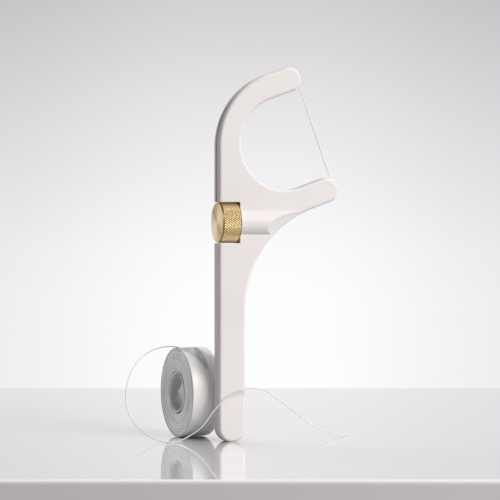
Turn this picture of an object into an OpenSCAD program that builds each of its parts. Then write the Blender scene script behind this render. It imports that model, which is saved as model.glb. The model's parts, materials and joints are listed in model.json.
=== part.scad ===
// Refillable floss holder: a moulded bow handle with a knurled brass clamp knob, loaded with floss,
// and its loose refill coil. X runs to the right across the flat handle, Y away from its front face
// and Z up. The origin is on the table, in the middle of the handle's foot.

/* [Handle] */
// Height of the handle from its foot to the top of the upper tip
overall_h = 120.5; // [116:0.5:128]
// Thickness of the moulding
plate_t = 6; // [5.4:0.1:7]
// Width of the straight grip
grip_w = 9; // [8.4:0.1:10]
// Rounding radius of the long edges
edge_r = 1; // [0.6:0.1:1.5]
// Depth of the flat on the foot
foot_flat_d = 0.15; // [0.05:0.05:0.3]

/* [Bow] */
// Inner radius of the bow, half the clear gap between its arms
bow_r = 15; // [14:0.5:16]
// Distance of the bow's centre from the middle of the grip
bow_x = 18; // [17.5:0.5:20]
// Width of the two arms
arm_w = 8; // [7.4:0.2:8.6]
// Straight length of the arms up to the centre of their tips
arm_reach = 8.5; // [6:0.5:12]
// Slope of the two arms in degrees
arm_rise = 20; // [16:1:24]
// Outer radius of the back of the bow
back_r = 25.2; // [24.6:0.2:26.4]
// Radius of the web between the grip and the lower arm
web_r = 34.3; // [32:0.5:36]

/* [Floss track] */
// Width of the groove that guides the floss
groove_w = 1.6; // [1.2:0.1:2]
// Depth of the groove
groove_d = 1; // [0.8:0.1:1.2]
// Diameter of the duct through the lower arm
duct_d = 1; // [0.8:0.1:1.2]
// Distance of the duct's inner mouth from the knob's axis
duct_off = 4.3; // [4.1:0.1:4.6]
// Thickness of the floss
floss_d = 0.4; // [0.3:0.05:0.45]
// Radius at which the floss ends lie round the clamp stud
wrap_r = 3.1; // [2.6:0.1:3.6]

/* [Knob] */
// Height of the knob's axis above the foot
knob_z = 70.1; // [66:0.1:71]
// Diameter of the knob
knob_d = 13; // [11.8:0.2:13.6]
// Length of the knob
knob_l = 6.4; // [5.6:0.1:7.2]
// How far the knob's face sits inside the handle's edge
knob_inset = 0.2; // [0:0.1:0.5]
// Gap beside the knob in its notch
knob_gap = 0.12; // [0.1:0.01:0.3]
// Clamping gap between the knob's end and the notch wall
clamp_gap = 0.5; // [0.46:0.02:0.7]
// Number of diamonds round the knurl
knurl_n = 50; // [40:2:60]
// Number of diamonds along the knurl
knurl_rows = 6; // [4:1:7]
// Depth of the knurl
knurl_d = 0.25; // [0.15:0.05:0.35]
// Plain band at each end of the knurl
knurl_band = 0.35; // [0.2:0.05:0.6]

/* [Clamp screw] */
// Diameter of the stud
stud_d = 2.9; // [2.4:0.1:3.1]
// Running clearance of the stud, on the radius
stud_gap = 0.05; // [0.03:0.01:0.1]
// Outer diameter of the threaded insert
insert_d = 5.4; // [5:0.1:6]
// Length of the threaded insert
insert_l = 7; // [5:0.5:7.5]
// Travel of the knob from clamped to fully open
knob_travel = 1.5; // [1:0.1:1.8]
// Diameter of the clamp washer
washer_d = 10; // [9.4:0.1:10.4]
// Thickness of the clamp washer
washer_t = 0.75; // [0.6:0.05:1]
// Clearance round the washer in the knob's recess
washer_gap = 0.1; // [0.05:0.05:0.2]
// Outer diameter of the retaining ring
ring_d = 4.2; // [3.8:0.1:4.6]
// Thickness of the retaining ring
ring_t = 0.4; // [0.3:0.05:0.6]

/* [Boss] */
// Diameter of the round boss that houses the insert
boss_d = 9.7; // [9:0.1:11]
// Slope of the scoop at the boss's open end in degrees
scoop_slope = 30; // [24:1:40]

/* [Refill coil] */
// Outer diameter of the wound coil
coil_d = 29.4; // [27:0.2:31]
// Width of the coil
coil_w = 10; // [8:0.5:12]
// Diameter of its open centre
coil_hole_d = 14; // [13:0.5:16]
// Rounding of its outer rims
coil_rim_r = 1; // [0.5:0.1:2]
// Distance between neighbouring loops of the outer layer
wind_pitch = 0.84; // [0.82:0.02:1.2]
// Play between the outer layer and the floss under it
wind_gap = 0.03; // [0.02:0.01:0.1]
// How far the film liner, looser than the open centre, lies off the coil's axis
liner_loose = 0.4; // [0.2:0.1:0.8]
// Thickness of the liner
liner_t = 0.4; // [0.3:0.05:0.6]
// Play between the liner and the floss wound round it
liner_gap = 0.1; // [0.05:0.05:0.2]
// How far the liner's edge sits inside the coil's sides
liner_inset = 0.3; // [0.1:0.1:0.6]
// Width of the liner's tab
tab_w = 6.2; // [5:0.2:7.4]
// Length of the tab
tab_l = 6; // [4:0.2:6.4]
// Sideways place of the coil, to the left of the foot
coil_x = -7.8; // [-12:0.2:-7]
// Distance of the coil's centre behind the handle's middle plane
coil_y = 17.8; // [17.8:0.2:24]
// Turn of the coil's axis away from the X axis in degrees
coil_turn = 5.2; // [0:0.1:10]

/* [Hidden] */

$fn = 96;
overrun = 1;

handle_colour = [0.91, 0.89, 0.88];
brass_colour = [0.80, 0.64, 0.36];
steel_colour = [0.70, 0.71, 0.73];
floss_colour = [0.95, 0.95, 0.94];
coil_colour = [0.74, 0.74, 0.73];
winding_colour = [0.80, 0.80, 0.79];
liner_colour = [0.83, 0.83, 0.81];

// Outline of the handle: tangent arcs and lines, in the plane of the plate
arm_dir = [cos(arm_rise), sin(arm_rise)];
arm_up = [-sin(arm_rise), cos(arm_rise)];
tip_r = arm_w / 2;
arm_mid = bow_r + tip_r;
foot_c = [0, grip_w / 2 - foot_flat_d];
bow_c = [bow_x, overall_h - tip_r - arm_reach * arm_dir[1] - arm_mid * arm_up[1]];
upper_tip = bow_c + arm_reach * arm_dir + arm_mid * arm_up;
lower_tip = bow_c + arm_reach * arm_dir - arm_mid * arm_up;
back_x = back_r - grip_w / 2;
back_off = bow_c * arm_up + bow_r + arm_w - back_r;
back_c = [back_x, (back_off - back_x * arm_up[0]) / arm_up[1]];
web_x = web_r + grip_w / 2;
web_off = bow_c * arm_up - bow_r - arm_w - web_r;
web_c = [web_x, (web_off - web_x * arm_up[0]) / arm_up[1]];

// The rim is a swept profile this wide, and the core reaches this far short of the outline
rim_w = groove_d + 2 * edge_r;
core_inset = (rim_w + max(edge_r, groove_d)) / 2;
core_steps = 16;
bend_steps = 4;
cord_sides = 8;
wind_sides = 6;

// The rim's straight runs lie this much inside its curves and reach this far into them
seam_step = 0.02;
seam_lap = 0.3;

// The groove runs this far round the inner side of each tip, in degrees
groove_round = 70;

// Notch, knob and screw, along the knob's axis
notch_x = knob_l + knob_inset + clamp_gap - grip_w / 2;
notch_half = knob_d / 2 + knob_gap;
notch_top = knob_z + notch_half;
knob_x = knob_inset - grip_w / 2;
knob_end = knob_x + knob_l;
washer_proud = (clamp_gap - floss_d) / 2;
recess_d = washer_t;
washer_x = knob_end - recess_d + washer_proud;
stud_bite = knob_l * 2 / 3;
insert_end = notch_x + insert_l;
ring_x = insert_end + knob_travel + stud_gap;
stud_end = ring_x + 2 * ring_t;
relief_end = stud_end + ring_t;
neck_d = stud_d - 2 * ring_t;

// Floss track
floss_r = floss_d / 2;
floss_seat = floss_r + stud_gap / 2;
track_in = groove_d - floss_seat;
track_turn = 2 * floss_d;
lead_r = duct_d / 2 + floss_d;
duct_from = [notch_x, knob_z + duct_off];
duct_dir = (lower_tip - duct_from) / norm(lower_tip - duct_from);
duct_rise = atan2(duct_dir[1], duct_dir[0]);
duct_mouth = lower_tip + (tip_r - groove_d) * duct_dir;

// Coil
coil_r = coil_d / 2;
wind_r = coil_r - floss_r;
wind_steps = 24;
wind_span = coil_w - 2 * coil_rim_r - floss_d;
wind_loops = floor(wind_span / wind_pitch);
coil_core_r = wind_r * cos(180 / wind_steps) - floss_r - wind_gap;
liner_d = coil_hole_d - 2 * (liner_loose + liner_gap);
tab_up_share = 0.6;

function dir(a) = [cos(a), sin(a)];
function arc(c, r, from, to, steps) = [for (i = [0:steps]) c + r * dir(from + (to - from) * i / steps)];
function upright(p) = [p[0], 0, p[1]];
function unit(v) = v / norm(v);

// Rounded corner at k between a and b, as points
function bend(a, k, b) = [
    for (i = [0:bend_steps])
        let (t = i / bend_steps)
            (1 - t) ^ 2 * a + 2 * t * (1 - t) * k + t ^ 2 * b
];

// Point of the coil: s along its axis, v to its back and u up from its centre
function on_coil(s, v, u) = [
    coil_x + s * cos(coil_turn) - v * sin(coil_turn),
    coil_y + s * sin(coil_turn) + v * cos(coil_turn),
    coil_r + u
];

// Point at the share t of the span from b to c on a smooth curve through a, b, c and d
function blend(a, b, c, d, t) =
    b + t / 2 * (c - a + t * (2 * a - 5 * b + 4 * c - d + t * (3 * b - a - 3 * c + d)));
function laid(p) = [p[0], p[1], max(p[2], floss_r)];

// Ring directions of a swept tube at point i; ref is never along the path
function along(p, i) = unit(p[min(i + 1, len(p) - 1)] - p[max(i - 1, 0)]);
function side(p, i, ref) = unit(cross(along(p, i), ref));

// A round tube of the given radius swept along a list of points
module tube(p, r, sides, ref) {
    n = len(p);
    rings = [
        for (i = [0:n - 1], k = [0:sides - 1])
            let (u = side(p, i, ref), w = cross(along(p, i), u), a = 360 * k / sides)
                p[i] + r * (cos(a) * u + sin(a) * w)
    ];
    walls = [
        for (i = [0:n - 2], k = [0:sides - 1])
            let (a = i * sides + k, b = i * sides + (k + 1) % sides)
                each [[a, a + sides, b + sides], [a, b + sides, b]]
    ];
    first = [for (k = [0:sides - 1]) k];
    last = [for (k = [sides - 1:-1:0]) (n - 1) * sides + k];
    polyhedron(points = rings, faces = concat(walls, [first, last]));
}

// Section of the handle's rim: x is outward, its outer surface at 0; y runs through the thickness
module rim_profile() {
    flat_t = plate_t - 2 * edge_r;
    union() {
        translate([-rim_w, -plate_t / 2])
            square([rim_w - edge_r, plate_t]);
        translate([-edge_r, -flat_t / 2])
            square([edge_r, flat_t]);
        for (s = [-1, 1])
            translate([-edge_r, s * flat_t / 2])
                circle(edge_r);
    }
}

// Section of the floss groove, on the same axes
module groove_profile() {
    translate([-groove_d, -groove_w / 2])
        square([groove_d + overrun, groove_w]);
}

// Sweeps a profile round an outward curve
module round_arc(c, r, from, to) {
    translate(c)
        rotate(from)
            rotate_extrude(angle = to - from)
                translate([r, 0])
                    children();
}

// Sweeps a profile round an inward curve
module round_bay(c, r, from, to) {
    round_arc(c, r, from, to)
        mirror([1, 0])
            children();
}

// Sweeps a profile along a line between two curves, its outside on the right of the way from p to q
module along_line(p, q, step) {
    way = unit(q - p);
    translate(q + seam_lap * way)
        rotate(atan2(way[1], way[0]) - 90)
            rotate([90, 0, 0])
                linear_extrude(norm(q - p) + 2 * seam_lap)
                    translate([step, 0])
                        children();
}

// Solid middle of the plate, inside its rim
module plate_core() {
    i = core_inset;
    linear_extrude(plate_t, center = true)
        polygon(concat(
            arc(foot_c, grip_w / 2 - i, 180, 360, core_steps),
            arc(web_c, web_r + i, 180, 90 + arm_rise, core_steps),
            arc(lower_tip, tip_r - i, arm_rise - 90, arm_rise + 90, core_steps),
            arc(bow_c, bow_r + i, 270 + arm_rise, 90 + arm_rise, 2 * core_steps),
            arc(upper_tip, tip_r - i, arm_rise - 90, arm_rise + 90, core_steps),
            arc(back_c, back_r - i, 90 + arm_rise, 180, core_steps)
        ));
}

module plate() {
    left = -grip_w / 2;
    union() {
        plate_core();
        round_arc(foot_c, grip_w / 2, 180, 360) rim_profile();
        round_bay(web_c, web_r, 90 + arm_rise, 180) rim_profile();
        round_arc(lower_tip, tip_r, arm_rise - 90, arm_rise + 90) rim_profile();
        round_bay(bow_c, bow_r, 90 + arm_rise, 270 + arm_rise) rim_profile();
        round_arc(upper_tip, tip_r, arm_rise - 90, arm_rise + 90) rim_profile();
        round_arc(back_c, back_r, 90 + arm_rise, 180) rim_profile();
        along_line([-left, foot_c[1]], [-left, web_c[1]], -seam_step) rim_profile();
        along_line(web_c + web_r * arm_up, lower_tip - tip_r * arm_up, -seam_step) rim_profile();
        along_line(lower_tip + tip_r * arm_up, bow_c - bow_r * arm_up, -seam_step) rim_profile();
        along_line(bow_c + bow_r * arm_up, upper_tip - tip_r * arm_up, -seam_step) rim_profile();
        along_line(upper_tip + tip_r * arm_up, back_c + back_r * arm_up, -seam_step) rim_profile();
        along_line([left, back_c[1]], foot_c - [grip_w / 2, 0], -seam_step) rim_profile();
    }
}

// Groove for the floss, from the notch round the back of the bow and round its two tips
module groove() {
    left = -grip_w / 2;
    along_line([left, back_c[1]], [left, knob_z], seam_step) groove_profile();
    round_arc(back_c, back_r, 90 + arm_rise, 180) groove_profile();
    along_line(upper_tip + tip_r * arm_up, back_c + back_r * arm_up, seam_step) groove_profile();
    round_arc(upper_tip, tip_r, arm_rise - groove_round, arm_rise + 90) groove_profile();
    round_arc(lower_tip, tip_r, arm_rise - groove_round, arm_rise + groove_round) groove_profile();
}

// Round boss on the knob's axis, scooped off where it runs out over the web, and ending inside the plate
module boss() {
    half_t = plate_t / 2 - edge_r / 4;
    scoop_r = web_r + edge_r / 2;
    scoop_h = boss_d / 2 + overrun;
    scoop_run = (scoop_h - half_t) / tan(scoop_slope);
    face_r = scoop_r + (plate_t / 2 - half_t) / tan(scoop_slope);
    face_h = knob_z + sqrt((boss_d / 2) ^ 2 - (plate_t / 2) ^ 2) - web_c[1];
    boss_end = web_c[0] - sqrt(face_r ^ 2 - face_h ^ 2) + edge_r;
    difference() {
        drill([notch_x - overrun, knob_z], 0, boss_d, boss_end - notch_x + overrun);
        translate(web_c)
            rotate_extrude()
                polygon([
                    [0, -scoop_h], [scoop_r + scoop_run, -scoop_h], [scoop_r, -half_t],
                    [scoop_r, half_t], [scoop_r + scoop_run, scoop_h], [0, scoop_h]
                ]);
    }
}

// Round bar or hole along a direction in the plane of the plate
module drill(from, angle, d, depth) {
    translate(from)
        rotate(angle)
            rotate([0, 90, 0])
                cylinder(d = d, h = depth);
}

module handle_frame() {
    left = -grip_w / 2;
    floor_x = left + groove_d;
    floor_z = notch_top + groove_d;
    corner = 2 * floss_seat * sqrt(2);
    color(handle_colour)
        rotate([90, 0, 0])
            difference() {
                union() {
                    plate();
                    boss();
                }
                groove();
                translate([left - overrun, knob_z - notch_half, -plate_t])
                    cube([notch_x - left + overrun, 2 * notch_half, 2 * plate_t]);
                translate([left - overrun, notch_top - overrun, -groove_w / 2])
                    cube([notch_x - left + overrun, groove_d + overrun, groove_w]);
                translate([floor_x, floor_z])
                    rotate(45)
                        cube([corner, corner, groove_w], center = true);
                drill([notch_x - overrun, knob_z], 0, insert_d, insert_l + overrun);
                drill([notch_x, knob_z], 0, ring_d + 2 * stud_gap, relief_end - notch_x);
                drill(duct_from, duct_rise, duct_d, norm(duct_mouth - duct_from));
                translate([notch_x - overrun, duct_from[1]])
                    rotate([0, 90, 0])
                        cylinder(r1 = lead_r + overrun, r2 = duct_d / 2, h = floss_d + overrun);
                translate(duct_mouth)
                    cylinder(r = lead_r, h = groove_w, center = true);
                translate([-grip_w, -grip_w, -plate_t])
                    cube([2 * grip_w, grip_w, 2 * plate_t]);
            }
}

// Knurled band standing on z = 0: its grooves cross at the even lattice points, with a peak between
module knurl(r, h) {
    columns = 2 * knurl_n;
    rows = 2 * knurl_rows;
    points = [
        for (j = [0:rows], i = [0:columns - 1])
            let (
                low = (i + j) % 2 == 0 || j == 0 || j == rows,
                rr = low ? r - knurl_d : r, a = 360 * i / columns
            )
                [rr * cos(a), rr * sin(a), h * j / rows]
    ];
    walls = [
        for (j = [0:rows - 1], i = [0:columns - 1])
            let (
                a = j * columns + i, b = j * columns + (i + 1) % columns,
                c = b + columns, d = a + columns
            )
                each ((i + j) % 2 == 0 ? [[a, d, c], [a, c, b]] : [[a, d, b], [b, d, c]])
    ];
    bottom = [for (i = [0:columns - 1]) i];
    top = [for (i = [columns - 1:-1:0]) rows * columns + i];
    polyhedron(points = points, faces = concat(walls, [bottom, top]));
}

module tension_knob() {
    core_d = knob_d - 3 * knurl_d;
    color(brass_colour)
        translate([knob_x, 0, knob_z])
            rotate([0, 90, 0])
                difference() {
                    union() {
                        cylinder(d = core_d, h = knob_l);
                        cylinder(d = knob_d - knurl_d, h = knurl_band + knurl_d / 4);
                        translate([0, 0, knurl_band])
                            knurl(knob_d / 2, knob_l - 2 * knurl_band);
                    }
                    translate([0, 0, knob_l - recess_d])
                        cylinder(d = washer_d + 2 * washer_gap, h = recess_d + overrun);
                    translate([0, 0, knob_l - stud_bite])
                        cylinder(d = stud_d, h = stud_bite);
                }
}

// Round bar on the knob's axis between two places along X
module axle(d, from, to) {
    translate([from, 0, knob_z])
        rotate([0, 90, 0])
            cylinder(d = d, h = to - from);
}

module clamp_stud() {
    color(steel_colour)
        union() {
            axle(stud_d, knob_end - stud_bite, ring_x);
            axle(neck_d, ring_x, ring_x + ring_t);
            axle(stud_d, ring_x + ring_t, stud_end);
        }
}

module clamp_washer() {
    color(steel_colour)
        difference() {
            axle(washer_d, washer_x, washer_x + washer_t);
            axle(stud_d + 2 * washer_gap, washer_x - overrun, washer_x + washer_t + overrun);
        }
}

module threaded_insert() {
    color(brass_colour)
        difference() {
            axle(insert_d, notch_x, insert_end);
            axle(stud_d + 2 * stud_gap, notch_x - overrun, insert_end + overrun);
        }
}

module retaining_ring() {
    color(steel_colour)
        difference() {
            axle(ring_d, ring_x, ring_x + ring_t);
            axle(neck_d, ring_x - overrun, ring_x + ring_t + overrun);
            translate([ring_x - overrun, -neck_d / 2, knob_z - ring_d])
                cube([ring_t + 2 * overrun, neck_d, ring_d]);
        }
}

// Route of the loaded floss, from its end under the washer up through the notch's channel, round the
// back of the bow, across the gap and back through the duct to its other end under the washer
clamp_x = notch_x - floss_seat;
track_x = track_in - grip_w / 2;
tip_in = tip_r - track_in;
wrap_end = 165;
wrap_steps = 10;
back_steps = 12;
tip_steps = 6;
function on_wall(a) = [clamp_x, wrap_r * sin(a), knob_z + wrap_r * cos(a)];
function wrap(from, to) = [for (i = [0:wrap_steps]) on_wall(from + (to - from) * i / wrap_steps)];
function leaving(k) = acos(wrap_r / (k[2] - knob_z));
notch_corner = [clamp_x, 0, notch_top + track_in];
edge_corner = [track_x, 0, notch_top + track_in];
tip_corner = upright(lower_tip + tip_in * arm_dir + tip_in * tan(duct_rise - arm_rise) * arm_up);
wall_corner = upright(duct_from - floss_seat / duct_dir[0] * duct_dir);
rise_from = on_wall(leaving(notch_corner));
fall_to = on_wall(-leaving(wall_corner));
from_wrap = notch_corner + track_turn * unit(rise_from - notch_corner);
to_wrap = wall_corner + track_turn * unit(fall_to - wall_corner);
floss_route = concat(
    wrap(wrap_end, leaving(notch_corner)),
    bend(from_wrap, notch_corner, notch_corner - [track_turn, 0, 0]),
    bend(edge_corner + [track_turn, 0, 0], edge_corner, edge_corner + [0, 0, track_turn]),
    [for (p = arc(back_c, back_r - track_in, 180, 90 + arm_rise, back_steps)) upright(p)],
    [for (p = arc(upper_tip, tip_in, 90 + arm_rise, arm_rise, tip_steps)) upright(p)],
    bend(tip_corner + track_turn * upright(arm_up), tip_corner, tip_corner - track_turn * upright(duct_dir)),
    bend(wall_corner + track_turn * upright(duct_dir), wall_corner, to_wrap),
    wrap(-leaving(wall_corner), -wrap_end)
);

module loaded_floss() {
    color(floss_colour)
        tube(floss_route, floss_r, cord_sides, [1, 2, 0]);
}

// Stands its children in the coil's place: their Z axis becomes the coil's, their X points down
module in_coil() {
    translate([coil_x, coil_y, coil_r])
        rotate([0, 0, coil_turn])
            rotate([0, 90, 0])
                children();
}

// The floss under the outer layer, wound solid, with an open centre and rounded outer rims
module refill_core() {
    rim_x = coil_core_r - coil_rim_r;
    rim_y = coil_w / 2 - coil_rim_r;
    hole_r = coil_hole_d / 2;
    color(coil_colour)
        in_coil()
            rotate_extrude()
                union() {
                    translate([hole_r, -coil_w / 2])
                        square([rim_x - hole_r, coil_w]);
                    translate([hole_r, -rim_y])
                        square([coil_core_r - hole_r, 2 * rim_y]);
                    for (s = [-1, 1])
                        translate([rim_x, s * rim_y])
                            circle(coil_rim_r);
                }
}

// Outer layer of the winding; its last loop ends on top, at the coil's left side
wind_first = wind_loops * wind_pitch / 2;
wind_run = concat(
    [on_coil(wind_first, -floss_d, wind_r)],
    [
        for (i = [0:wind_loops * wind_steps])
            let (a = 360 * i / wind_steps)
                on_coil(wind_first - wind_pitch * i / wind_steps, wind_r * sin(a), wind_r * cos(a))
    ],
    [on_coil(-wind_first, floss_d, wind_r)]
);
wind_free = min([
    for (i = [0:len(wind_run) - 1], j = [i + wind_steps / 2:len(wind_run) - 1])
        norm(wind_run[i] - wind_run[j]) - floss_d
]);
echo(least_gap_of_the_winding_to_itself = wind_free);

module refill_winding() {
    color(winding_colour)
        tube(wind_run, floss_r, wind_sides, [cos(coil_turn), sin(coil_turn), 0]);
}

// Film tube inside the coil, with a tab folded in near its left edge
module coil_liner() {
    liner_l = coil_w - 2 * liner_inset;
    color(liner_colour)
        in_coil()
            translate([0, liner_loose])
                union() {
                    difference() {
                        cylinder(d = liner_d, h = liner_l, center = true);
                        cylinder(d = liner_d - 2 * liner_t, h = coil_w, center = true);
                    }
                    translate([0, 0, liner_inset - liner_l / 2])
                        linear_extrude(liner_t)
                            intersection() {
                                circle(d = liner_d - liner_t);
                                polygon([
                                    [-tab_up_share * tab_w, -liner_d / 2],
                                    [(1 - tab_up_share) * tab_w, -liner_d / 2],
                                    [0, tab_l - liner_d / 2]
                                ]);
                            }
                }
}

// Route of the coil's free end: back off the top, round to the left, down to the table, up in an arch
// before the grip and down to the table again, from the point where the winding ends
tail_steps = 3;
tail_route = [
    [-13, 19.7, 29.5], [-16, 19.7, 29.5], [-20.5, 18.7, 28.5], [-25.2, 16.5, 26], [-29, 14.2, 21.7],
    [-31, 12, 17], [-31.7, 10, 12.2], [-31, 8, 8.2], [-28.5, 5.6, 4.4], [-24.5, 2.9, 1.2],
    [-20.8, 0.7, 0.3], [-17.5, 0, 0.4], [-13.5, -0.9, 2.3], [-9.8, -2.3, 5.3], [-6.9, -3.4, 9.5],
    [-2.6, -4.4, 14.5], [0.6, -4.7, 16.4], [3.9, -4.9, 17.3], [10, -5, 16.5], [14, -4.9, 13.8],
    [18.7, -4.4, 10.5], [26, -3, 5.3], [32.4, -1.4, 2.2], [40.2, 1.6, 0.4], [43.9, 4.4, 0.2]
];
tail_start = wind_run[len(wind_run) - 1];
tail_lead = on_coil(-wind_first, 3 * floss_d, wind_r);
tail_end = tail_route[len(tail_route) - 1];
tail_past = 2 * tail_end - tail_route[len(tail_route) - 2];
tail_knots = concat([tail_start, tail_lead], tail_route, [tail_past]);
tail_run = concat(
    [tail_start],
    [
        for (i = [1:len(tail_knots) - 3], j = [0:tail_steps - 1])
            let (k = tail_knots, t = j / tail_steps)
                laid(blend(k[i - 1], k[i], k[i + 1], k[i + 2], t))
    ],
    [tail_end]
);
function run_length(p, i) = i == 0 ? 0 : norm(p[i] - p[i - 1]) + run_length(p, i - 1);
echo(length_of_the_free_floss = run_length(tail_run, len(tail_run) - 1), rings = len(tail_run));

module floss_tail() {
    color(floss_colour)
        tube(tail_run, floss_r, cord_sides, [1, 2, 0]);
}

handle_frame();
tension_knob();
clamp_stud();
clamp_washer();
threaded_insert();
retaining_ring();
loaded_floss();
refill_core();
refill_winding();
coil_liner();
floss_tail();
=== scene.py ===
import json
import math

import bmesh
import bpy
import numpy as np
from mathutils import Matrix, Vector

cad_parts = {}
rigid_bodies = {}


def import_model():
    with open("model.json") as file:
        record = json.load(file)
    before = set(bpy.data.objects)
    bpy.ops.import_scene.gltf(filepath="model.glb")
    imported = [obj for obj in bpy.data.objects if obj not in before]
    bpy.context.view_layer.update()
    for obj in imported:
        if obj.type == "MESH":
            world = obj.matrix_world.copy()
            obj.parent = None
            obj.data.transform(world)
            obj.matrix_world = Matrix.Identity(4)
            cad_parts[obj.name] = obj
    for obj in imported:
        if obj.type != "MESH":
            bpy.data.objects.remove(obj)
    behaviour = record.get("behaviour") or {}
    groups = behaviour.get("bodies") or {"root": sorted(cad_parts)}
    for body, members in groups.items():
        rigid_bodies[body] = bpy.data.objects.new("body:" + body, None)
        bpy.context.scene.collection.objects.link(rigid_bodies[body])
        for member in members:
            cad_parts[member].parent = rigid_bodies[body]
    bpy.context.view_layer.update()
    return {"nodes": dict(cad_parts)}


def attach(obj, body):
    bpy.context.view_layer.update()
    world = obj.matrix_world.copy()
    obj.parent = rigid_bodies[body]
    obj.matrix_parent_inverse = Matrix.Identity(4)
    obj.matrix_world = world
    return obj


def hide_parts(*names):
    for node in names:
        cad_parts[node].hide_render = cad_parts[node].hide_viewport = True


for leftover in list(bpy.data.objects):
    bpy.data.objects.remove(leftover)

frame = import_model()
cadNodes = frame["nodes"]
mm = 0.001


# camera: level, looking slightly to the right across the table

cameraValues = {
    "place": (-0.177256, -0.547035, 0.061311),
    "turn": -18.6,  # degrees about the vertical, 0 looks along +Y
    "lens": 128.97,
    "sensor": 36.0,
    "nearest": 0.01,
    "farthest": 20,
}

lookTurn = math.radians(cameraValues["turn"])
lookAlong = Vector((math.sin(-lookTurn), math.cos(-lookTurn), 0))
lookRight = Vector((lookAlong.y, -lookAlong.x, 0))
cameraData = bpy.data.cameras.new("photoCamera")
cameraData.lens = cameraValues["lens"]
cameraData.sensor_width = cameraValues["sensor"]
cameraData.clip_start = cameraValues["nearest"]
cameraData.clip_end = cameraValues["farthest"]
camera = bpy.data.objects.new("photoCamera", cameraData)
camera.location = cameraValues["place"]
camera.rotation_euler = (math.radians(90), 0, lookTurn)
bpy.context.scene.collection.objects.link(camera)
bpy.context.scene.camera = camera


def linkObject(obj):
    bpy.context.scene.collection.objects.link(obj)
    return obj


def meshObject(name, vertices, faces):
    mesh = bpy.data.meshes.new(name)
    mesh.from_pydata([tuple(v) for v in vertices], [], [tuple(f) for f in faces])
    mesh.update()
    mesh.polygons.foreach_set("use_smooth", [True] * len(mesh.polygons))
    return linkObject(bpy.data.objects.new(name, mesh))


def ringFaces(rings, around):
    # four-sided faces between rings of vertices that lie one after the other
    faces = []
    for start in range(0, (rings - 1) * around, around):
        for k in range(around):
            a, b = start + k, start + (k + 1) % around
            faces.append((a, b, b + around, a + around))
    return faces


def shapedMesh(obj):
    # the object's mesh with its modifiers applied
    bpy.context.view_layer.update()
    return bpy.data.meshes.new_from_object(obj.evaluated_get(bpy.context.evaluated_depsgraph_get()))


def outwards(obj, weld=None):
    # turns the faces outwards, after points closer than weld are made one
    mesh = bmesh.new()
    mesh.from_mesh(obj.data)
    if weld:
        bmesh.ops.remove_doubles(mesh, verts=mesh.verts, dist=weld)
    bmesh.ops.recalc_face_normals(mesh, faces=mesh.faces)
    mesh.to_mesh(obj.data)
    mesh.free()
    return obj


def setMaterial(obj, material):
    obj.data.materials.clear()
    obj.data.materials.append(material)
    return obj


# small helpers for node trees

def put(tree, kind, settings=None, inputs=None):
    item = tree.nodes.new(kind)
    for key, value in (settings or {}).items():
        setattr(item, key, value)
    for key, value in (inputs or {}).items():
        if isinstance(value, bpy.types.NodeSocket):
            tree.links.new(value, item.inputs[key])
        else:
            item.inputs[key].default_value = value
    return item


def calc(tree, operation, first, second=None, third=None):
    given = {0: first}
    if second is not None:
        given[1] = second
    if third is not None:
        given[2] = third
    return put(tree, "ShaderNodeMath", {"operation": operation}, given).outputs[0]


def product(tree, first, *others):
    for other in others:
        first = calc(tree, "MULTIPLY", first, other)
    return first


def total(tree, first, *others):
    for other in others:
        first = calc(tree, "ADD", first, other)
    return first


def axisPart(tree, vector, axis):
    return put(tree, "ShaderNodeSeparateXYZ", inputs={0: vector}).outputs[axis]


def combine(tree, x=0.0, y=0.0, z=0.0):
    return put(tree, "ShaderNodeCombineXYZ", inputs={0: x, 1: y, 2: z}).outputs[0]


def spread(tree, value, start, stop, low=0.0, high=1.0, smooth=False):
    # low at start, high at stop, and between them on the way
    curve = "SMOOTHSTEP" if smooth else "LINEAR"
    return put(tree, "ShaderNodeMapRange", {"interpolation_type": curve}, {
        "Value": value, "From Min": start, "From Max": stop, "To Min": low, "To Max": high,
    }).outputs[0]


def dimmed(tree, colour, factor):
    scaled = put(tree, "ShaderNodeVectorMath", {"operation": "SCALE"}, {0: colour, "Scale": factor})
    return scaled.outputs[0]


def mixColours(tree, factor, first, second):
    mix = put(tree, "ShaderNodeMix", {"data_type": "RGBA"}, {0: factor, 6: first, 7: second})
    return mix.outputs[2]


def noise(tree, place, scale, detail):
    grain = put(tree, "ShaderNodeTexNoise", inputs={"Vector": place, "Scale": scale, "Detail": detail})
    return grain.outputs["Fac"]


def lineNoise(tree, run, detail):
    # noise along one number
    inputs = {"W": run, "Scale": 1.0, "Detail": detail}
    return put(tree, "ShaderNodeTexNoise", {"noise_dimensions": "1D"}, inputs).outputs["Fac"]


def rampOf(tree, factor, stops):
    ramp = put(tree, "ShaderNodeValToRGB", inputs={"Fac": factor})
    points = ramp.color_ramp.elements
    while len(points) < len(stops):
        points.new(0.5)
    for point, (position, colour) in zip(points, stops):
        point.position = position
        point.color = (*colour, 1)
    return ramp.outputs["Color"]


def newMaterial(name, **shaderValues):
    material = bpy.data.materials.new(name)
    material.use_nodes = True
    tree = material.node_tree
    shader = tree.nodes["Principled BSDF"]
    for key, value in shaderValues.items():
        shader.inputs[key.replace("_", " ")].default_value = value
    return material, tree, shader


def objectPlace(tree):
    return put(tree, "ShaderNodeTexCoord").outputs["Object"]


def addBump(tree, shader, height, distance, strength):
    inputs = {"Height": height, "Distance": distance, "Strength": strength}
    bump = put(tree, "ShaderNodeBump", inputs=inputs)
    tree.links.new(bump.outputs["Normal"], shader.inputs["Normal"])


# table: a glossy white top, its front edge square to the camera's view

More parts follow.
